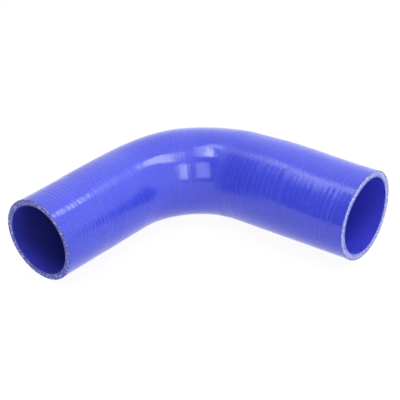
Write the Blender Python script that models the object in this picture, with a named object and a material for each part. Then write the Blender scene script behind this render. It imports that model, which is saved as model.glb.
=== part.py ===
"""A moulded silicone coolant hose: a right-angled elbow with two straight legs of unlike length.

Fabric tape and rubber were wrapped round a mandrel and cured, so the skin is ribbed across and the bore is smooth.
The hose lies on its side, as it comes to rest, with +Z up. Leg A points along +X and the longer leg B along +Y.
The origin is on the surface under it, at the middle of its box. Lengths are in metres.
"""

import math

import bmesh
import bpy
import numpy as np

# Driving dimensions of the hose
BORE_DIAMETER = 0.060
WALL = 0.0052
BEND_ANGLE = math.radians(90)
BEND_RADIUS = 0.0765
STRAIGHT_A = 0.092
STRAIGHT_B = 0.110

# The wrapped layers lie thicker round the bend than at the ends
BUILD_UP = 0.0025
BUILD_UP_LEAD = 0.005
BUILD_UP_FADE = 0.090

# Each cut end is pressed a little out of round, as an oval and as an egg
OVAL_A, OVAL_TILT_A = 0.0012, math.radians(25)
OVAL_B, OVAL_TILT_B = 0.0013, math.radians(-34)
EGG_A, EGG_TILT_A = 0.0003, math.radians(-49)
EGG_B, EGG_TILT_B = 0.0005, math.radians(8)

# Ribs that the wrapping tape left across the skin
RIB_PITCH = 0.0044
RIB_DEPTH = 0.00025

# Fineness of the mesh
SIDES = 32
BORE_STEP = 0.013

# Lengths along the middle of the hose, from end A
BEND_LENGTH = BEND_RADIUS * BEND_ANGLE
LENGTH = STRAIGHT_A + BEND_LENGTH + STRAIGHT_B
RIB_COUNT = round(LENGTH / RIB_PITCH)

# Colour, roughness and metallic value of each finish
BLUE_SILICONE = ((0.030, 0.055, 0.620, 1.0), 0.28, 0.0)
CUT_PLIES = ((0.230, 0.260, 0.560, 1.0), 0.75, 0.0)


def clear_scene():
    for thing in list(bpy.data.objects):
        bpy.data.objects.remove(thing)


def make_collection(name):
    group = bpy.data.collections.new(name)
    bpy.context.scene.collection.children.link(group)
    return group


def make_material(name, finish):
    colour, roughness, metallic = finish
    material = bpy.data.materials.new(name)
    material.diffuse_color = colour
    material.use_nodes = True
    shader = material.node_tree.nodes["Principled BSDF"]
    shader.inputs["Base Color"].default_value = colour
    shader.inputs["Roughness"].default_value = roughness
    shader.inputs["Metallic"].default_value = metallic
    return material


def smooth_step(amount):
    """0 below 0, 1 above 1, and an even S between them."""
    amount = np.clip(amount, 0.0, 1.0)
    return amount * amount * (3.0 - 2.0 * amount)


def centreline(along):
    """Points in plan at these distances from end A, and the direction there towards the inside of the bend.

    The legs' axes cross at (0, 0). The path comes in along -X, turns round the bend and leaves for end B.
    """
    tangent_length = BEND_RADIUS * math.tan(BEND_ANGLE / 2)
    turned = np.clip((along - STRAIGHT_A) / BEND_RADIUS, 0.0, BEND_ANGLE)
    heading = np.stack([-np.cos(turned), np.sin(turned)], axis=1)
    inward = np.stack([np.sin(turned), np.cos(turned)], axis=1)
    on_leg_a = np.minimum(along - STRAIGHT_A, 0.0)
    on_leg_b = np.maximum(along - STRAIGHT_A - BEND_LENGTH, 0.0)
    bend_centre = np.array([tangent_length, BEND_RADIUS])
    points = bend_centre - BEND_RADIUS * inward + (on_leg_a + on_leg_b)[:, None] * heading
    return points, inward


def build_up(along):
    """Extra radius of the skin: it grows from just before the bend to the bend's middle, then fades to end B."""
    lead = (along - STRAIGHT_A + BUILD_UP_LEAD) / (BUILD_UP_LEAD + BEND_LENGTH / 2)
    fade = (LENGTH - along) / BUILD_UP_FADE
    return BUILD_UP * smooth_step(lead) * smooth_step(fade)


def out_of_round(along, around):
    """Change of radius near the cut ends: two lobes for the oval and three for the egg, gone where the bend starts."""
    lobes_a = OVAL_A * np.cos(2 * (around - OVAL_TILT_A)) + EGG_A * np.cos(3 * (around - EGG_TILT_A))
    lobes_b = OVAL_B * np.cos(2 * (around - OVAL_TILT_B)) + EGG_B * np.cos(3 * (around - EGG_TILT_B))
    near_a = smooth_step(1.0 - along / STRAIGHT_A)[:, None]
    near_b = smooth_step(1.0 - (LENGTH - along) / STRAIGHT_B)[:, None]
    return near_a * lobes_a + near_b * lobes_b


def section_rings(along, bore, ribs):
    """One ring of points round the hose at each distance: its bore, or its skin with every second ring a groove.

    The angle round the hose starts at its lowest point. Each section is as high as its own skin needs, so that the
    hose touches the floor all along.
    """
    around = np.linspace(0.0, 2.0 * math.pi, SIDES, endpoint=False) - math.pi / 2
    change = out_of_round(along, around[None, :])
    skin = BORE_DIAMETER / 2 + WALL + build_up(along)[:, None] + change
    height = -(skin * np.sin(around)).min(axis=1)
    if bore:
        radius = BORE_DIAMETER / 2 + change
    else:
        radius = skin - ribs[:, None]
    points, inward = centreline(along)
    sideways = radius * np.cos(around)
    plan = points[:, None, :] + sideways[:, :, None] * inward[:, None, :]
    level = height[:, None] + radius * np.sin(around)
    return np.concatenate([plan, level[:, :, None]], axis=2)


def hose_rings():
    """The skin's rings from end A to end B, then the bore's rings back again, centred over the origin.

    The skin has a crest at each end and two rings to a rib.
    """
    skin_along = np.linspace(0.0, LENGTH, 2 * RIB_COUNT + 1)
    grooves = RIB_DEPTH * (np.arange(skin_along.size) % 2)
    skin = section_rings(skin_along, False, grooves)
    bore_along = np.linspace(LENGTH, 0.0, round(LENGTH / BORE_STEP) + 1)
    bore = section_rings(bore_along, True, None)
    rings = np.concatenate([skin, bore])
    low = skin.min(axis=(0, 1))
    high = skin.max(axis=(0, 1))
    rings[:, :, :2] -= (low[:2] + high[:2]) / 2
    return rings, len(skin)


def make_hose(group, skin_material, cut_material):
    """A loft through all the rings and back to the first one, which closes it at both cut ends."""
    rings, skin_rings = hose_rings()
    count = len(rings)
    shape = bmesh.new()
    points = [[shape.verts.new(point) for point in ring] for ring in rings]
    for ring in range(count):
        following = (ring + 1) % count
        for side in range(SIDES):
            beside = (side + 1) % SIDES
            corners = (points[ring][side], points[following][side], points[following][beside], points[ring][beside])
            face = shape.faces.new(corners)
            is_cut = ring in (skin_rings - 1, count - 1)
            face.material_index = int(is_cut)
            face.smooth = not is_cut
    bmesh.ops.recalc_face_normals(shape, faces=shape.faces)
    mesh = bpy.data.meshes.new("elbow_hose")
    shape.to_mesh(mesh)
    shape.free()
    mesh.materials.append(skin_material)
    mesh.materials.append(cut_material)
    mesh.set_sharp_from_angle(angle=math.radians(40))
    hose = bpy.data.objects.new("elbow_hose", mesh)
    group.objects.link(hose)
    return hose


clear_scene()
hose_group = make_collection("coolant_hose")
make_hose(
    hose_group,
    make_material("blue_silicone", BLUE_SILICONE),
    make_material("cut_plies", CUT_PLIES),
)
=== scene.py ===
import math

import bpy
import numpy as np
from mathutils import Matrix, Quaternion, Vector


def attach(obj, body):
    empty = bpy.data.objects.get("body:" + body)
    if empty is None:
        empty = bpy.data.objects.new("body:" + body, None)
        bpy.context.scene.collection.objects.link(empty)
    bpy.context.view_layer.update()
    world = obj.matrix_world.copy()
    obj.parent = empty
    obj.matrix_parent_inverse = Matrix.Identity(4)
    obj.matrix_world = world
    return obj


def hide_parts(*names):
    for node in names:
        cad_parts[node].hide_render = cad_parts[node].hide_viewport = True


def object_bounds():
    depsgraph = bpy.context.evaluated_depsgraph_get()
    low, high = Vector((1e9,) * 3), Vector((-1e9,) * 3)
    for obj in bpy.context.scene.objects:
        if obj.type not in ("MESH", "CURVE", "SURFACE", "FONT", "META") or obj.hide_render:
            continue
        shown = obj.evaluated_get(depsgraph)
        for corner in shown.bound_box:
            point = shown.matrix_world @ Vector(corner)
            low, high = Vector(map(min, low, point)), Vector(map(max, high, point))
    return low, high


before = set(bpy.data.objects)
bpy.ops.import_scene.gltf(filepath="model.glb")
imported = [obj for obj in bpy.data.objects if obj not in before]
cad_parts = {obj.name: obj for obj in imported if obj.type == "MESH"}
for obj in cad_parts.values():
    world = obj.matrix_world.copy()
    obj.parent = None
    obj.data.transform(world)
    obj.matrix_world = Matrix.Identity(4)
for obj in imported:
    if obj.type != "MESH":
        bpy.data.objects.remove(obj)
cad_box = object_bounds()

# %% [markdown]
# # A right-angled silicone coolant hose
#
# This lesson dresses one engine part: a short, stiff hose that carries coolant round a corner
# between a radiator and an engine. It is made by hand. Fabric coated with raw silicone is rolled
# round a bent steel mandrel, wet nylon tape is wound tightly over it, and the roll is baked. When
# the tape comes off, its edges have left fine rings all along the skin. The ends are then cut
# square, which shows the layers of fabric in the wall.
#
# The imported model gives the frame: where the hose lies and how large it is. Everything below is in
# metres in that same frame, with +Z up, the shorter leg A along +X and the longer leg B along +Y.

MM = 0.001
print("CAD box", [round(value, 4) for corner in cad_box for value in corner])

# %% [markdown]
# ## The camera
#
# The camera comes first, because every later choice is seen through it. Its place was found by
# fitting the outline of the hose and both cut rims to a picture taken from about two thirds of a
# metre away with a medium telephoto lens. It is given as a photographer would: what it looks at,
# how far away it stands, from which side and how high, and how much it is rolled.

# %% Camera
AIM = Vector((-0.01172, -0.00944, 0.03695))
DISTANCE = 0.6448
SIDE = math.radians(41.565)
HEIGHT = math.radians(28.358)
ROLL = math.radians(-3.757)
LENS_MM = 71.729
SENSOR_MM = 36.0

towards_camera = Vector((
    math.cos(SIDE) * math.cos(HEIGHT),
    math.sin(SIDE) * math.cos(HEIGHT),
    math.sin(HEIGHT),
))
camera = bpy.data.objects.new("camera", bpy.data.cameras.new("camera"))
bpy.context.scene.collection.objects.link(camera)
camera.data.lens = LENS_MM
camera.data.sensor_width = SENSOR_MM
camera.location = AIM + DISTANCE * towards_camera
camera.rotation_mode = "QUATERNION"
level_view = (-towards_camera).to_track_quat("-Z", "Y")
camera.rotation_quaternion = level_view @ Quaternion((0.0, 0.0, 1.0), ROLL)
bpy.context.scene.camera = camera
print("camera at", [round(value, 3) for value in camera.location])

# %% [markdown]
# ## The path of the hose
#
# A hose is a ring carried along a path. The path has a straight leg, a quarter turn and another
# straight leg. Its formula is the one that the CAD model uses, so that the fine skin made here lies
# on the solid one: the point at a distance along the hose, and the direction there towards the
# inside of the bend.

# %% Path
BORE_RADIUS = 30.0 * MM
WALL = 5.2 * MM
BEND_ANGLE = math.radians(90)
BEND_RADIUS = 76.5 * MM
STRAIGHT_A = 92.0 * MM
STRAIGHT_B = 110.0 * MM
BEND_LENGTH = BEND_RADIUS * BEND_ANGLE
LENGTH = STRAIGHT_A + BEND_LENGTH + STRAIGHT_B


def smooth_step(amount):
    """0 below 0, 1 above 1, and 3 times the square less 2 times the cube between them."""
    amount = np.clip(amount, 0.0, 1.0)
    return amount * amount * (3.0 - 2.0 * amount)


def centreline(along):
    """Points in plan at these distances from end A, and the direction inwards at the bend.

    The legs' axes cross at (0, 0). A point is the bend's centre, less the bend radius times the
    inward direction, plus what is left of a straight leg times the heading.
    """
    tangent_length = BEND_RADIUS * math.tan(BEND_ANGLE / 2)
    turned = np.clip((along - STRAIGHT_A) / BEND_RADIUS, 0.0, BEND_ANGLE)
    heading = np.stack([-np.cos(turned), np.sin(turned)], axis=1)
    inward = np.stack([np.sin(turned), np.cos(turned)], axis=1)
    on_leg_a = np.minimum(along - STRAIGHT_A, 0.0)
    on_leg_b = np.maximum(along - STRAIGHT_A - BEND_LENGTH, 0.0)
    bend_centre = np.array([tangent_length, BEND_RADIUS])
    points = bend_centre - BEND_RADIUS * inward + (on_leg_a + on_leg_b)[:, None] * heading
    return points, inward


print("the hose is", round(LENGTH / MM, 1), "mm long along its middle")

# %% [markdown]
# ## The section of the hose
#
# The section is nearly a circle, and what keeps it from being one is what makes the hose look real.
# The layers pile up a little round the bend, and each cut end is slightly oval because the hose was
# pulled off its mandrel while it was still warm. Both are small sums of cosines and smooth steps,
# computed for all points at once.

# %% Section
BUILD_UP = 2.5 * MM
BUILD_UP_LEAD = 5.0 * MM
BUILD_UP_FADE = 90.0 * MM
OVAL_A, OVAL_TILT_A = 1.2 * MM, math.radians(25)
OVAL_B, OVAL_TILT_B = 1.3 * MM, math.radians(-34)
EGG_A, EGG_TILT_A = 0.3 * MM, math.radians(-49)
EGG_B, EGG_TILT_B = 0.5 * MM, math.radians(8)


def build_up(along):
    """Extra radius of the skin: a smooth step up to mid-bend, times one down to end B."""
    lead = (along - STRAIGHT_A + BUILD_UP_LEAD) / (BUILD_UP_LEAD + BEND_LENGTH / 2)
    fade = (LENGTH - along) / BUILD_UP_FADE
    return BUILD_UP * smooth_step(lead) * smooth_step(fade)


def lobes(around, oval, oval_tilt, egg, egg_tilt):
    """A cosine of twice the angle, which makes an oval, and one of three times, an egg."""
    return oval * np.cos(2 * (around - oval_tilt)) + egg * np.cos(3 * (around - egg_tilt))


def out_of_round(along, around):
    """Change of radius near the cut ends: each end's lobes, faded along its straight leg."""
    lobes_a = lobes(around, OVAL_A, OVAL_TILT_A, EGG_A, EGG_TILT_A)
    lobes_b = lobes(around, OVAL_B, OVAL_TILT_B, EGG_B, EGG_TILT_B)
    near_a = smooth_step(1.0 - along / STRAIGHT_A)[:, None]
    near_b = smooth_step(1.0 - (LENGTH - along) / STRAIGHT_B)[:, None]
    return near_a * lobes_a + near_b * lobes_b


# %% [markdown]
# ## The relief that the tape left
#
# Under the baking tape the silicone flows until it fills every gap. Each turn of the tape overlaps
# the one before it by most of its width, so its edge prints a shallow groove that climbs round the
# hose as one long screw thread. The grooves are about four millimetres apart. Beside end A they are
# about a tenth of a millimetre deep, and further on almost flat. A bump map could fake them, but
# they break up the highlights and should also show on the bare mesh, so they are real geometry.
#
# A hand-wound thread isn't even. Its spacing drifts along the hose, which a short table gives. Each
# turn also strays a little and some turns bite deeper, which are chance values joined up along the
# thread. A finer noise, long across the hose and short along it, gives the faint lines between the
# grooves, strongest round the bend and weakest on leg B. A slow one gives gentle waves.
#
# Where the tape pulled away a little, it left the skin less glossy. That is so in a hollow about
# each groove, most of all on leg B, where these dull hollows draw the even cross bands. It is so
# all over the skin on the half of leg A beside the bend and where leg B begins.

# %% Smooth noise on a grid
SPARE_ROWS = 3


def smooth_noise(rows, columns, values):
    """Values blended between grid points by smooth steps; columns close on themselves."""
    row = np.floor(rows).astype(int)
    column = np.floor(columns).astype(int)
    down = smooth_step(rows - row)
    right = smooth_step(columns - column)
    row = np.clip(row, 0, values.shape[0] - 2)
    this_column = column % values.shape[1]
    next_column = (column + 1) % values.shape[1]
    upper = values[row, this_column] * (1 - right) + values[row, next_column] * right
    lower = values[row + 1, this_column] * (1 - right) + values[row + 1, next_column] * right
    return upper * (1 - down) + lower * down


# %% The tape in numbers
SEED = 41
PITCH_PLACES = np.array([0.0, 42.0, 62.0, 190.0, 250.0, 323.0]) * MM
PITCHES = np.array([3.5, 3.6, 4.1, 4.4, 4.7, 4.4]) * MM
THREAD_SAMPLES = 4000
GROOVE_DEPTH = 0.15 * MM
GROOVE_WIDTH = 0.38 * MM
GROOVE_STRAY = 0.35 * MM
BITE_PLACES = np.array([0.0, 43.0, 48.0, 90.0, 118.0, 200.0, 225.0, 323.0]) * MM
BITES = np.array([1.0, 1.0, 0.25, 0.16, 0.06, 0.05, 0.06, 0.08])
WEAKEST_BITE = 0.55
KNOTS_PER_TURN = 3
SPLICES = np.array([40.8, 80.4, 97.5, 241.0, 265.0, 308.0]) * MM
SPLICE_MARK = 0.6
HOLLOW_WIDTH = 0.9 * MM
DULL_PLACES = np.array([0.0, 42.0, 45.0, 90.0, 110.0, 190.0, 200.0, 250.0, 285.0, 323.0]) * MM
DULL_ALL_OVER = np.array([0.0, 0.0, 0.12, 0.10, 0.0, 0.0, 0.12, 0.05, 0.02, 0.0])
DULL_IN_HOLLOWS = np.array([0.06, 0.06, 0.10, 0.08, 0.04, 0.04, 0.18, 0.19, 0.20, 0.20])

# %% Tape grooves
chance = np.random.default_rng(SEED)
fine_places = np.linspace(-2 * PITCHES[0], LENGTH + 2 * PITCHES[-1], THREAD_SAMPLES)
fine_pitches = np.interp(fine_places, PITCH_PLACES, PITCHES)
fine_turns = np.concatenate([[0.0], np.cumsum(np.diff(fine_places) / fine_pitches[1:])])
turn_count = int(fine_turns[-1]) + 2
stray_knots = chance.normal(0.0, 1.0, turn_count * KNOTS_PER_TURN)
bite_knots = chance.uniform(WEAKEST_BITE, 1.0, turn_count * KNOTS_PER_TURN)


def along_thread(turn, knots):
    """A value that changes smoothly with the number of turns wound so far."""
    return np.interp(turn * KNOTS_PER_TURN, np.arange(knots.size), knots)


def stretch(along, around):
    """Length on the skin for a unit along the middle: 1 on the legs, less inside the bend."""
    in_bend = (along > STRAIGHT_A) & (along < STRAIGHT_A + BEND_LENGTH)
    return np.where(in_bend, 1.0 - (BORE_RADIUS + WALL) / BEND_RADIUS * np.cos(around), 1.0)


def tape_marks(along, around, width):
    """Strength of the screw thread: bell curves about the nearest turns, with stray and bite.

    The number of turns at a point is how many fit between the start and there, less the angle over
    a full turn. Whole numbers of it lie on the thread. Distances are taken on the skin, so a groove
    is as wide inside the bend as outside it. Where one length of tape ends and the next begins, one
    more bell goes straight round.
    """
    turns_here = np.interp(along, fine_places, fine_turns)
    fraction = around / (2 * math.pi)
    nearest = np.round(turns_here - fraction)
    marks = np.zeros(np.broadcast(along, around).shape)
    for neighbour in (-1, 0, 1):
        thread = nearest + neighbour + fraction
        stray = GROOVE_STRAY * along_thread(thread, stray_knots)
        middle = np.interp(thread, fine_turns, fine_places) + stray
        distance = (along - middle) * stretch(along, around) / width
        marks += along_thread(thread, bite_knots) * np.exp(-0.5 * distance ** 2)
    for splice in SPLICES:
        distance = (along - splice - fraction * PITCHES[-1]) / width
        marks += SPLICE_MARK * np.exp(-0.5 * distance ** 2)
    return marks


def groove_depth(along, marks):
    """The marks as a depth, deepest beside end A, where the tape was pulled hardest."""
    return GROOVE_DEPTH * np.interp(along, BITE_PLACES, BITES) * marks


# %% Fine lines and slow waves
FINE_STEP = 1.0 * MM
FINE_DEPTH = 0.05 * MM
FINE_VALUES_ROUND = 9
FINE_PLACES = np.array([0.0, 110.0, 140.0, 200.0, 230.0, 323.0]) * MM
FINE_SHARES = np.array([1.0, 1.0, 1.7, 1.7, 0.35, 0.25])
WAVE_STEP = 14.0 * MM
WAVE_DEPTH = 0.05 * MM
WAVE_VALUES_ROUND = 6
fine_rows = int(LENGTH / FINE_STEP) + SPARE_ROWS
fine_values = chance.uniform(0.0, 1.0, (fine_rows, FINE_VALUES_ROUND))
wave_rows = int(LENGTH / WAVE_STEP) + SPARE_ROWS
wave_values = chance.uniform(0.0, 1.0, (wave_rows, WAVE_VALUES_ROUND))


def fine_relief(along, around):
    """Depth of the faint cross lines and slow waves: smooth noise over distance and angle."""
    turn = around / (2 * math.pi)
    lines = smooth_noise(along / FINE_STEP, turn * FINE_VALUES_ROUND, fine_values)
    waves = smooth_noise(along / WAVE_STEP, turn * WAVE_VALUES_ROUND, wave_values)
    fine_depth = FINE_DEPTH * np.interp(along, FINE_PLACES, FINE_SHARES)
    return (fine_depth * lines + WAVE_DEPTH * waves) * stretch(along, around) ** 2


print("the tape was wound", turn_count, "turns")

# %% [markdown]
# ## The fine mesh
#
# The skin needs a ring of points every third of a millimetre to hold the grooves, while the smooth
# bore does well with a ring every three. The rings run down the skin from end A to end B, over the
# cut face by small radial steps, back through the bore and out over the other cut face, so that the
# last ring joins the first and the whole hose is one closed surface.
#
# The solid model has 32 flat sides and this one 80, which bulge a little further. The skin is
# therefore sunk by three hundredths of a millimetre, and so stays inside the solid's box.

# %% Rings of points
SIDES = 80
SKIN_RINGS = 900
BORE_RINGS = 110
LOWEST_ANGLE = -math.pi / 2
SKIN_SINK = 0.03 * MM

around = np.linspace(0.0, 2.0 * math.pi, SIDES, endpoint=False) + LOWEST_ANGLE
skin_along = np.linspace(0.0, LENGTH, SKIN_RINGS)
bore_along = np.linspace(LENGTH, 0.0, BORE_RINGS)


def bore_radius(along):
    """The smooth bore, with the change near the ends."""
    return BORE_RADIUS + out_of_round(along, around[None, :])


def skin_radius(along):
    """The crests of the skin: bore, wall, build-up and the change near the ends."""
    return BORE_RADIUS + WALL + build_up(along)[:, None] + out_of_round(along, around[None, :])


def place_rings(along, radius):
    """Rings at these distances and radii, each lifted until its lowest skin is on the floor."""
    height = -(skin_radius(along) * np.sin(around)).min(axis=1)
    points, inward = centreline(along)
    plan = points[:, None, :] + (radius * np.cos(around))[:, :, None] * inward[:, None, :]
    level = height[:, None] + radius * np.sin(around)
    return np.concatenate([plan, level[:, :, None]], axis=2)


marks = tape_marks(skin_along[:, None], around[None, :], GROOVE_WIDTH)
hollows = tape_marks(skin_along[:, None], around[None, :], HOLLOW_WIDTH)
relief = groove_depth(skin_along[:, None], marks) + fine_relief(skin_along[:, None], around[None, :])
relief += SKIN_SINK
skin_rings = place_rings(skin_along, skin_radius(skin_along) - relief)
bore_rings = place_rings(bore_along, bore_radius(bore_along))
print("deepest relief", round(float(relief.max()) / MM, 3), "mm")

# %% [markdown]
# ## The cut ends
#
# A knife cuts rubber cleanly and drags at fabric, so the cut face isn't flat. The rubber between
# the plies stands a little proud and the cut yarns lie a little below it. The face goes from skin
# to bore in small radial steps, and each step is sunk by a wave with one trough for each ply, made
# uneven round the hose by the same smooth noise. It never stands out past the end of the solid.

# %% Cut faces
CUT_RINGS = 11
PLIES = 4
PLY_SINK = 0.16 * MM
LEAST_SINK = 0.4
KNIFE_MARK = 0.03 * MM
NOTCHES = 120
notch_values = chance.uniform(0.0, 1.0, (CUT_RINGS + SPARE_ROWS, NOTCHES))
cut_share = np.linspace(0.0, 1.0, CUT_RINGS + 2)[1:-1]


def cut_face(first_ring, last_ring, outwards):
    """Rings between two at the same end, sunk by a cosine with one period for each ply."""
    share = cut_share[:, None, None]
    rings = first_ring[None] * (1 - share) + last_ring[None] * share
    wave = 0.5 - 0.5 * np.cos(2 * math.pi * PLIES * cut_share)
    turn = around[None, :] / (2 * math.pi)
    rows = np.arange(CUT_RINGS)[:, None] + 0.0 * turn
    uneven = smooth_noise(rows, turn * NOTCHES, notch_values)
    ply_sink = PLY_SINK * wave[:, None] * (LEAST_SINK + (1.0 - LEAST_SINK) * uneven)
    sink = ply_sink + KNIFE_MARK * uneven
    return rings - sink[:, :, None] * np.array(outwards)[None, None, :]


cut_b = cut_face(skin_rings[-1], bore_rings[0], (0.0, 1.0, 0.0))
cut_a = cut_face(bore_rings[-1], skin_rings[0], (1.0, 0.0, 0.0))
rings = np.concatenate([skin_rings, cut_b, bore_rings, cut_a])
cut_planes = rings[:, :, :2].max(axis=(0, 1))
rings[:, :, :2] += np.array(cad_box[1])[:2] - cut_planes
ring_total = len(rings)
print(ring_total, "rings; both cut faces lie at the ends of the CAD box")

# %% [markdown]
# ## Straightened coordinates
#
# Colour and gloss vary along and across the hose, not along the room's axes. Every point therefore
# also carries its place on the hose as if it were pulled straight: the distance along it, and the
# point's place in its own section. A pattern that reads this attribute follows the bend and has no
# seam, which an unrolled map would have.
#
# Three more numbers go with each point: how much of a groove it is in, how dull the skin is there,
# and how far it is through the wall, from 0 at the skin to 1 at the bore.

# %% Straightened places
straight_along = np.concatenate([
    skin_along,
    np.full(CUT_RINGS, LENGTH),
    bore_along,
    np.zeros(CUT_RINGS),
])
both_ends = np.array([0.0, LENGTH])
skin_edge_a, skin_edge_b = skin_radius(both_ends)
bore_edge_a, bore_edge_b = bore_radius(both_ends)
share = cut_share[:, None]
straight_radius = np.concatenate([
    skin_radius(skin_along) - relief,
    skin_edge_b * (1 - share) + bore_edge_b * share,
    bore_radius(bore_along),
    bore_edge_a * (1 - share) + skin_edge_a * share,
])
straightened = np.stack([
    np.broadcast_to(straight_along[:, None], (ring_total, SIDES)),
    straight_radius * np.cos(around),
    straight_radius * np.sin(around),
], axis=2)

# %% Grooves, gloss and depth at each point
groove_share = np.zeros((ring_total, SIDES))
groove_share[:SKIN_RINGS] = np.clip(marks, 0.0, 1.0)
dullness = np.zeros((ring_total, SIDES))
dull_all_over = np.interp(skin_along, DULL_PLACES, DULL_ALL_OVER)[:, None]
dull_in_hollows = np.interp(skin_along, DULL_PLACES, DULL_IN_HOLLOWS)[:, None]
dullness[:SKIN_RINGS] = dull_all_over + dull_in_hollows * np.clip(hollows, 0.0, 1.0)
skin_to_bore = np.concatenate([
    np.zeros(SKIN_RINGS),
    cut_share,
    np.ones(BORE_RINGS),
    1.0 - cut_share,
])

# %% Faces between the rings
ring_index, side_index = np.meshgrid(np.arange(ring_total), np.arange(SIDES), indexing="ij")
next_ring = (ring_index + 1) % ring_total
next_side = (side_index + 1) % SIDES
corners = np.stack([
    ring_index * SIDES + side_index,
    ring_index * SIDES + next_side,
    next_ring * SIDES + next_side,
    next_ring * SIDES + side_index,
], axis=2).reshape(-1, 4)

SKIN_SLOT, LINER_SLOT, CUT_SLOT = 0, 1, 2
bore_starts = SKIN_RINGS + CUT_RINGS
bore_ends = bore_starts + BORE_RINGS - 1
in_cut_b = (ring_index >= SKIN_RINGS - 1) & (ring_index < bore_starts)
in_bore = (ring_index >= bore_starts) & (ring_index < bore_ends)
in_cut_a = ring_index >= bore_ends
slots = np.where(in_bore, LINER_SLOT, np.where(in_cut_a | in_cut_b, CUT_SLOT, SKIN_SLOT))

# %% The mesh
SHARP_ANGLE = math.radians(50)

mesh = bpy.data.meshes.new("moulded_hose")
mesh.from_pydata(rings.reshape(-1, 3).tolist(), [], corners.tolist())
mesh.polygons.foreach_set("material_index", slots.ravel().astype(np.int32))
mesh.polygons.foreach_set("use_smooth", np.ones(len(mesh.polygons), dtype=bool))


def store(name, kind, key, values):
    """Keep a value for each point under a name that the finishes can read."""
    attribute = mesh.attributes.new(name, kind, "POINT")
    attribute.data.foreach_set(key, values.ravel())


store("straightened", "FLOAT_VECTOR", "vector", straightened)
store("groove", "FLOAT", "value", groove_share)
store("dullness", "FLOAT", "value", dullness)
store("skin_to_bore", "FLOAT", "value", np.repeat(skin_to_bore, SIDES))
mesh.update()
mesh.set_sharp_from_angle(angle=SHARP_ANGLE)
print(len(mesh.polygons) * 2, "triangles")


# %% Which way the faces point
def signed_volume(points, quads):
    """Sum over all triangles of a corner dotted with the cross product of the others, over 6."""
    a, b, c, d = (points[quads[:, index]] for index in range(4))
    first = np.einsum("ij,ij->i", a, np.cross(b, c)).sum()
    second = np.einsum("ij,ij->i", a, np.cross(c, d)).sum()
    return (first + second) / 6


volume = signed_volume(rings.reshape(-1, 3), corners)
if volume < 0:
    mesh.flip_normals()
print("volume", round(abs(volume) / (10 * MM) ** 3, 1), "cubic centimetres")

hose = bpy.data.objects.new("moulded_hose", mesh)
bpy.context.scene.collection.objects.link(hose)
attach(hose, "root")
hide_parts("elbow_hose")

# %% [markdown]
# ## Helpers for the finishes
#
# Colours are written as hex codes, as in a paint chart, and turned to the linear values that
# Blender's shaders work in. One function adds a node with its settings and links, and a few small
# ones add the kinds of node that come back often. That keeps each finish below to a short list.


# %% Colours and nodes
def colour(code):
    """Linear red, green, blue and alpha from an sRGB hex code."""
    parts = np.array([int(code[start:start + 2], 16) for start in (1, 3, 5)]) / 255
    linear = np.where(parts <= 0.04045, parts / 12.92, ((parts + 0.055) / 1.055) ** 2.4)
    return (*linear.tolist(), 1.0)


def add_node(tree, kind, settings=None, inputs=None):
    """A new node: settings are properties, inputs are socket values or outputs to link."""
    node = tree.nodes.new(kind)
    for name, value in (settings or {}).items():
        setattr(node, name, value)
    for name, value in (inputs or {}).items():
        if isinstance(value, bpy.types.NodeSocket):
            tree.links.new(value, node.inputs[name])
        else:
            node.inputs[name].default_value = value
    return node


def new_material(name):
    """An empty node material and the socket that takes its surface."""
    material = bpy.data.materials.new(name)
    material.use_nodes = True
    material.node_tree.nodes.clear()
    output = material.node_tree.nodes.new("ShaderNodeOutputMaterial")
    return material, material.node_tree, output.inputs["Surface"]


# %% Places and patterns
def object_place(tree):
    """The point's place in the room."""
    return add_node(tree, "ShaderNodeTexCoord").outputs["Object"]


def read(tree, name, socket="Fac"):
    """A value that the mesh stores under this name."""
    return add_node(tree, "ShaderNodeAttribute", {"attribute_name": name}).outputs[socket]


def stretched(tree, place, step_along, step_across):
    """A place counted in steps, of one length along the hose and another across it."""
    node = add_node(tree, "ShaderNodeMapping", None, {
        "Vector": place, "Scale": (1 / step_along, 1 / step_across, 1 / step_across),
    })
    return node.outputs["Vector"]


def noise(tree, place, scale, detail, roughness=0.5):
    """Smooth chance values, mostly between 0.3 and 0.7."""
    node = add_node(tree, "ShaderNodeTexNoise", None, {
        "Vector": place, "Scale": scale, "Detail": detail, "Roughness": roughness,
    })
    return node.outputs["Fac"]


# %% Sums and mixtures
NOISE_LOW, NOISE_HIGH = 0.3, 0.7


def multiply(tree, first, second):
    """The product of two values."""
    node = add_node(tree, "ShaderNodeMath", {"operation": "MULTIPLY"}, {0: first, 1: second})
    return node.outputs["Value"]


def map_range(tree, value, start, end, low, high):
    """Low where the value is at the start or before it, high at the end, straight between."""
    node = add_node(tree, "ShaderNodeMapRange", None, {
        "Value": value, "From Min": start, "From Max": end, "To Min": low, "To Max": high,
    })
    return node.outputs["Result"]


def mix_colours(tree, factor, first, second):
    """Two colours mixed. Their sockets share names with others, so they go by number."""
    node = add_node(tree, "ShaderNodeMix", {"data_type": "RGBA"}, {
        "Factor": factor, 6: first, 7: second,
    })
    return node.outputs[2]


def colour_ramp(tree, value, places, codes):
    """Colours that blend one into the next at these places between 0 and 1."""
    ramp = add_node(tree, "ShaderNodeValToRGB", None, {"Fac": value})
    stops = ramp.color_ramp.elements
    stops[0].position = places[0]
    stops[0].color = colour(codes[0])
    stops[1].position = places[-1]
    stops[1].color = colour(codes[-1])
    for place, code in zip(places[1:-1], codes[1:-1]):
        stop = stops.new(place)
        stop.color = colour(code)
    return ramp.outputs["Color"]


# %% Bumps and surfaces
SILICONE_IOR = 1.55


def bump(tree, value, height, under=None):
    """A bump of this height where the value goes from 0 to 1, on another bump if one is given."""
    inputs = {"Strength": 1.0, "Distance": height, "Height": value}
    if under is not None:
        inputs["Normal"] = under
    return add_node(tree, "ShaderNodeBump", None, inputs).outputs["Normal"]


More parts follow.
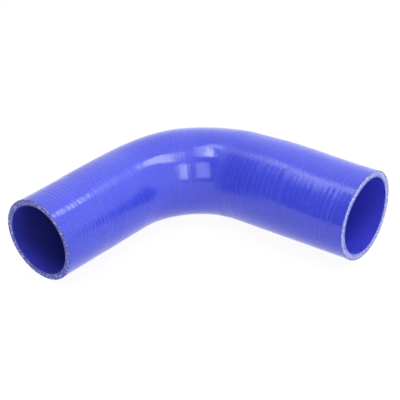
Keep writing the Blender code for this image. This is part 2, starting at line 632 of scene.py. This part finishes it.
def rubber(tree, surface, tint, roughness, normal=None):
    """The shader of all three finishes, with its own colour, roughness and bump."""
    inputs = {"Base Color": tint, "Roughness": roughness, "IOR": SILICONE_IOR}
    if normal is not None:
        inputs["Normal"] = normal
    shader = add_node(tree, "ShaderNodeBsdfPrincipled", None, inputs)
    tree.links.new(shader.outputs["BSDF"], surface)


# %% [markdown]
# ## Silicone, cured under tape
#
# The skin is silicone rubber, coloured right through with ultramarine pigment. It took its gloss
# from the smooth side of the nylon tape, so it mirrors lamps sharply over a deep blue. Its index is
# set at 1.55, a little above that of clear silicone, which gives the mirrored lamps their strength.
# Seen closely the skin isn't even: the pigment is mottled, coarsely and finely, the grooves are
# painted paler, partly for chalk that stays in them and partly as a painted highlight where their
# slopes would mirror the lamps, and the weave of the tape left lines too fine for the mesh, which a
# small bump draws.
#
# The lines repeat every half millimetre on the real hose. At the size of the picture they would
# vanish, so they are drawn about twice as coarse.

# %% The skin in numbers
BLUE = "#444FDC"
DEEP_BLUE = "#3743D1"
# Pale groove blue: partly chalk, partly a painted highlight.
CHALK_AND_HIGHLIGHT_BLUE = "#6E79DE"
MOTTLE_SIZE = 22 * MM
GRAIN_SIZE = 1.5 * MM
GRAIN_SHARE = 0.5
CHALK_AND_HIGHLIGHT_STARTS = 0.2
CHALK_AND_HIGHLIGHT_SHARE = 0.16
LINE_STEP = 0.9 * MM
LINE_LENGTH = 40 * MM
LINE_HEIGHT = 0.02 * MM
LINE_ROUGHNESS = 0.6
PEEL_SIZE = 1.6 * MM
PEEL_HEIGHT = 0.010 * MM
GLOSSY, LESS_GLOSSY = 0.07, 0.12

# %% Colour of the skin
silicone, tree, surface = new_material("silicone_cured_under_tape")
position = object_place(tree)
mottle = noise(tree, position, 1 / MOTTLE_SIZE, 3.0)
grain = noise(tree, position, 1 / GRAIN_SIZE, 1.0)
grain_share = map_range(tree, grain, NOISE_LOW, NOISE_HIGH, -GRAIN_SHARE, GRAIN_SHARE)
uneven = add_node(tree, "ShaderNodeMath", {"operation": "ADD", "use_clamp": True}, {
    0: mottle, 1: grain_share,
})
blues = mix_colours(tree, uneven.outputs["Value"], colour(DEEP_BLUE), colour(BLUE))
# The pale blue in the grooves is partly chalk and partly a painted highlight for the lamps that the
# groove slopes mirror.
chalk_and_painted_highlight = map_range(tree, read(tree, "groove"), CHALK_AND_HIGHLIGHT_STARTS, 1.0, 0.0, CHALK_AND_HIGHLIGHT_SHARE)
chalked_and_highlighted = mix_colours(tree, chalk_and_painted_highlight, blues, colour(CHALK_AND_HIGHLIGHT_BLUE))

# %% Lines and gloss of the skin
straight = read(tree, "straightened", "Vector")
line_place = stretched(tree, straight, LINE_STEP, LINE_LENGTH)
lines = noise(tree, line_place, 1.0, 2.0, LINE_ROUGHNESS)
peel = noise(tree, position, 1 / PEEL_SIZE, 2.0)
line_bump = bump(tree, lines, LINE_HEIGHT)
peel_bump = bump(tree, peel, PEEL_HEIGHT, line_bump)
gloss = map_range(tree, lines, NOISE_LOW, NOISE_HIGH, GLOSSY, LESS_GLOSSY)
dulled = add_node(tree, "ShaderNodeMath", {"operation": "ADD"}, {
    0: gloss, 1: read(tree, "dullness"),
})
rubber(tree, surface, chalked_and_highlighted, dulled.outputs["Value"], peel_bump)
mesh.materials.append(silicone)

# %% [markdown]
# ## The liner inside
#
# The bore was shaped by the polished mandrel, so it is smooth and has no grooves. Faint draw marks
# run along it, from the hose being pulled off. They are only a small change of gloss, which is
# greasy all over. Deep inside, the bore is painted a darker blue as painted shade, the shade that
# falls inside a tube. The liner's own clearer blue shows only at the very mouth of end A and
# further in at end B.

# %% Mandrel-smooth liner
# The darker blue in the middle of the ramp is painted shade deep in the bore; the mouth blues are
# the liner's own colour.
PAINTED_BORE_SHADE = "#2F3294"
MOUTH_BLUE_A = "#3B41C8"
MOUTH_BLUE_B = "#4046D4"
BORE_SHADE_PLACES = (0.0, 0.06, 0.62, 0.97)
BORE_SHADE_COLOURS = (MOUTH_BLUE_A, PAINTED_BORE_SHADE, PAINTED_BORE_SHADE, MOUTH_BLUE_B)
BORE_SHADE_STRAY = 0.03
DRAW_STEP = 5.0 * MM
DRAW_LENGTH = 90 * MM
LINER_SMOOTH, LINER_DRAWN = 0.28, 0.30


def share_of_length(tree, straight):
    """0 at end A and 1 at end B."""
    parts = add_node(tree, "ShaderNodeSeparateXYZ", None, {"Vector": straight})
    return multiply(tree, parts.outputs["X"], 1 / LENGTH)


liner, tree, surface = new_material("silicone_liner_off_the_mandrel")
straight = read(tree, "straightened", "Vector")
draw_place = stretched(tree, straight, DRAW_LENGTH, DRAW_STEP)
draws = noise(tree, draw_place, 1.0, 0.0)
# Painted shade: a ramp along the hose, with a noisy edge, darkens the bore between its mouths.
bore_shade_noise = noise(tree, object_place(tree), 1 / MOTTLE_SIZE, 2.0)
bore_shade_edge = add_node(tree, "ShaderNodeMath", {"operation": "MULTIPLY_ADD"}, {
    0: bore_shade_noise, 1: BORE_SHADE_STRAY, 2: share_of_length(tree, straight),
})
liner_blue_and_painted_shade = colour_ramp(tree, bore_shade_edge.outputs["Value"], BORE_SHADE_PLACES, BORE_SHADE_COLOURS)
liner_gloss = map_range(tree, draws, NOISE_LOW, NOISE_HIGH, LINER_SMOOTH, LINER_DRAWN)
rubber(tree, surface, liner_blue_and_painted_shade, liner_gloss)
mesh.materials.append(liner)

# %% [markdown]
# ## Cut rubber and cut fabric
#
# A cut end shows how the hose is built: the blue skin outside, then four plies of white polyester
# fabric in blue rubber, then the thin blue liner. The cut yarns scatter light and look like white
# specks in a pale band. The specks are a cell pattern in the straightened coordinates, and the
# place between skin and bore fades them. Real yarns are narrower, and would vanish at the size of
# the picture.
#
# The knife dragged blue rubber over the fabric, which leaves blotches. End A is smeared all over
# and darker, and end B is cut clean and paler. The two sets of colours are mixed by the distance
# along the hose.

# %% The plies in numbers
EDGE = "#3B4090"
SMEARED = (EDGE, "#5A62C8", "#5A62CA", "#444AB4", "#3A40A4")
CLEAN = (EDGE, "#A3A9EC", "#A3A9F0", "#7A80DA", "#6068C8")
WALL_PLACES = (0.07, 0.16, 0.55, 0.80, 1.0)
YARN = "#DCE1FF"
YARN_SIZE = 1.5 * MM
YARN_CORE, YARN_RIM = 0.22, 0.46
DARKEST_LUCK, BRIGHTEST_LUCK = 0.05, 0.60
BAND_FADES, BAND_ENDS = 0.75, 0.95
BLOTCH_SIZE = 1.8 * MM
BLOTCH_STARTS, BLOTCH_FULL = 0.45, 0.65
BLOTCH_SHARE = 0.7
YARN_BUMP = 0.15 * MM
CUT_ROUGHNESS = 0.62

# %% Rubber between the yarns
plies, tree, surface = new_material("silicone_and_polyester_plies_cut")
straight = read(tree, "straightened", "Vector")
inwards = read(tree, "skin_to_bore")
smeared = colour_ramp(tree, inwards, WALL_PLACES, SMEARED)
clean = colour_ramp(tree, inwards, WALL_PLACES, CLEAN)
wall = mix_colours(tree, share_of_length(tree, straight), smeared, clean)
blotches = noise(tree, straight, 1 / BLOTCH_SIZE, 2.0)
blotch = map_range(tree, blotches, BLOTCH_STARTS, BLOTCH_FULL, 0.0, BLOTCH_SHARE)
blotched = mix_colours(tree, blotch, wall, colour(EDGE))

# %% Cut yarns
yarns = add_node(tree, "ShaderNodeTexVoronoi", None, {"Vector": straight, "Scale": 1 / YARN_SIZE})
round_speck = map_range(tree, yarns.outputs["Distance"], YARN_CORE, YARN_RIM, 1.0, 0.0)
luck = add_node(tree, "ShaderNodeSeparateColor", None, {"Color": yarns.outputs["Color"]})
bright_yarn = map_range(tree, luck.outputs["Red"], DARKEST_LUCK, BRIGHTEST_LUCK, 0.0, 1.0)
in_band = map_range(tree, inwards, BAND_FADES, BAND_ENDS, 1.0, 0.0)
speck = multiply(tree, multiply(tree, round_speck, bright_yarn), in_band)
specked = mix_colours(tree, speck, blotched, colour(YARN))
rubber(tree, surface, specked, CUT_ROUGHNESS, bump(tree, speck, YARN_BUMP))
mesh.materials.append(plies)

# %% [markdown]
# ## Softboxes
#
# A glossy tube is drawn by what it reflects. Long soft panels overhead leave one bright line along
# each leg and a broad patch on each side of the bend; two upright panels in front leave the two
# small patches under them. Each panel is a flat shape of even brightness, and the one for the right
# patch has a dimmer edge. The places are worked out from where each highlight must fall, by
# following the mirrored ray from the camera up to a ceiling two metres high, or to an upright panel
# two metres away.
#
# Three of the panels are seen only in mirrored light. They give their patches the right brightness,
# while the flank of leg B and the cut face of end A, which they would light as well, stay as dim as
# they should be.

# %% One softbox
CEILING = 2.0
FRONT = 2.0


def softbox(name, corners, brightness):
    """A flat panel that shines on the side that faces the hose and is clear from behind."""
    panel = bpy.data.meshes.new(name)
    panel.from_pydata(corners, [], [tuple(range(len(corners)))])
    panel.update()
    centre = sum((Vector(corner) for corner in corners), Vector()) / len(corners)
    if panel.polygons[0].normal.dot(-centre) < 0:
        panel.flip_normals()
    shine, shine_tree, shine_surface = new_material(name + "_diffuser")
    glow = add_node(shine_tree, "ShaderNodeEmission", None, {"Strength": brightness})
    clear = add_node(shine_tree, "ShaderNodeBsdfTransparent")
    back = add_node(shine_tree, "ShaderNodeNewGeometry").outputs["Backfacing"]
    side = add_node(shine_tree, "ShaderNodeMixShader", None, {
        0: back, 1: glow.outputs[0], 2: clear.outputs[0],
    })
    shine_tree.links.new(side.outputs["Shader"], shine_surface)
    panel.materials.append(shine)
    stand = bpy.data.objects.new(name, panel)
    bpy.context.scene.collection.objects.link(stand)
    stand.visible_camera = False
    stand.visible_shadow = False
    return stand


def overhead(points):
    """Corners on the ceiling from their x and y."""
    return [(x, y, CEILING) for x, y in points]


def in_front(side_low, side_high, low, high):
    """Corners of an upright panel, from the angles round and above the hose that it covers."""
    corners = []
    for turn, rise in ((side_low, low), (side_high, low), (side_high, high), (side_low, high)):
        turn = math.radians(turn)
        rise = math.radians(rise)
        corners.append((FRONT * math.cos(turn), FRONT * math.sin(turn), FRONT * math.tan(rise)))
    return corners


# %% All the softboxes
SOFTBOXES = {
    "key_box": (overhead([
        (-0.84, 0.50), (-0.52, 0.36), (-0.04, 0.27), (0.20, 0.33), (0.46, 0.66), (0.80, 1.10),
        (0.37, 1.06), (-0.41, 0.92), (-0.84, 0.90),
    ]), 7.2),
    "second_box": (overhead([
        (0.05, -0.46), (0.04, -0.56), (0.30, -0.52), (0.62, -0.52), (1.12, -0.52), (1.08, -0.10),
    ]), 9.5),
    "second_box_edge": (overhead([
        (0.06, -0.15), (0.05, -0.46), (1.08, -0.10), (1.05, 0.03), (0.76, 0.34),
    ]), 3.6),
    "leg_a_box": (overhead([
        (-1.06, 0.29), (-1.28, 0.36), (-1.42, 0.91), (-1.17, 0.86),
    ]), 9.0),
    "leg_b_box": (overhead([
        (-0.20, -0.60), (-0.10, -1.35), (0.26, -1.35), (0.24, -0.60),
    ]), 3.7),
    "front_strip": (in_front(46.4, 50.8, 9, 48), 9.6),
    "front_panel": (in_front(-3, 26, 9, 47), 3.0),
}
REFLECTED_ONLY = ("front_panel", "leg_a_box", "leg_b_box")
for name, (corners, brightness) in SOFTBOXES.items():
    stand = softbox(name, corners, brightness)
    stand.visible_diffuse = name not in REFLECTED_ONLY

# %% [markdown]
# ## The room and the floor
#
# The rest of the light is a white room: bright behind the hose and beside leg A, dim in front where
# the photographer stands. It is a smooth change over the direction of the light. Mirrored light
# gets all of it and matt light about half, which keeps the blue deep under a bright sheen. The
# camera sees plain white instead.
#
# The floor is white paper that glows a little, so that it looks white right up to the hose, but it
# keeps a share of its own shading, and the hose still casts a faint shadow on it. In mirrored light
# it is a little brighter.

# %% Room light
BRIGHT_SIDE = math.radians(137)
ROOM_DIM, ROOM_BRIGHT = 0.096, 1.40
FILL_SHARE = 0.54
GRADIENT_START, GRADIENT_END = -0.75, 0.15
WHITE = (1.0, 1.0, 1.0, 1.0)


def larger(tree, first, second):
    """The larger of two values."""
    node = add_node(tree, "ShaderNodeMath", {"operation": "MAXIMUM"}, {0: first, 1: second})
    return node.outputs["Value"]


world = bpy.data.worlds.new("white_room")
bpy.context.scene.world = world
world.use_nodes = True
tree = world.node_tree
tree.nodes.clear()
direction = add_node(tree, "ShaderNodeTexCoord").outputs["Generated"]
towards_bright = add_node(tree, "ShaderNodeVectorMath", {"operation": "DOT_PRODUCT"}, {
    0: direction, 1: (math.cos(BRIGHT_SIDE), math.sin(BRIGHT_SIDE), 0.0),
})
room = add_node(tree, "ShaderNodeMapRange", {"interpolation_type": "SMOOTHSTEP"}, {
    "Value": towards_bright.outputs["Value"],
    "From Min": GRADIENT_START,
    "From Max": GRADIENT_END,
    "To Min": ROOM_DIM,
    "To Max": ROOM_BRIGHT,
})
path = add_node(tree, "ShaderNodeLightPath")
mirrored = larger(tree, path.outputs["Is Glossy Ray"], path.outputs["Is Transmission Ray"])
light_share = map_range(tree, mirrored, 0.0, 1.0, FILL_SHARE, 1.0)
lit = multiply(tree, room.outputs["Result"], light_share)
seen = add_node(tree, "ShaderNodeMix", {"data_type": "FLOAT"}, {
    "Factor": path.outputs["Is Camera Ray"], "A": lit, "B": 1.0,
})
background = add_node(tree, "ShaderNodeBackground", None, {
    "Color": WHITE, "Strength": seen.outputs["Result"],
})
add_node(tree, "ShaderNodeOutputWorld", None, {"Surface": background.outputs["Background"]})

# %% Floor
FLOOR_HALF = 3.0
FLOOR_WHITE = "#F4F4F6"
FLOOR_GLOW = 0.92
PAPER_LIGHT = 1.025
MIRRORED_EXTRA = 0.15

floor_corners = [
    (-FLOOR_HALF, -FLOOR_HALF, 0.0),
    (FLOOR_HALF, -FLOOR_HALF, 0.0),
    (FLOOR_HALF, FLOOR_HALF, 0.0),
    (-FLOOR_HALF, FLOOR_HALF, 0.0),
]
floor_mesh = bpy.data.meshes.new("floor")
floor_mesh.from_pydata(floor_corners, [], [(0, 1, 2, 3)])
floor = bpy.data.objects.new("floor", floor_mesh)
bpy.context.scene.collection.objects.link(floor)

# %% Paper of the floor
paper, tree, surface = new_material("matt_white_paper")
path = add_node(tree, "ShaderNodeLightPath")
shown = larger(tree, path.outputs["Is Camera Ray"], path.outputs["Is Glossy Ray"])
shown_too = larger(tree, shown, path.outputs["Is Transmission Ray"])
glow_share = multiply(tree, shown_too, FLOOR_GLOW)
fibre = add_node(tree, "ShaderNodeBsdfDiffuse", None, {"Color": colour(FLOOR_WHITE)})
paper_light = add_node(tree, "ShaderNodeMath", {"operation": "MULTIPLY_ADD"}, {
    0: path.outputs["Is Glossy Ray"], 1: MIRRORED_EXTRA, 2: PAPER_LIGHT,
})
white = add_node(tree, "ShaderNodeEmission", None, {"Strength": paper_light.outputs["Value"]})
mixed = add_node(tree, "ShaderNodeMixShader", None, {
    0: glow_share, 1: fibre.outputs["BSDF"], 2: white.outputs["Emission"],
})
tree.links.new(mixed.outputs["Shader"], surface)
floor_mesh.materials.append(paper)

# %% [markdown]
# ## Looking
#
# The picture is shown with the Standard view transform, which leaves colours as they are lit.

# %% View and finish
bpy.context.scene.view_settings.view_transform = "Standard"
bpy.context.view_layer.update()
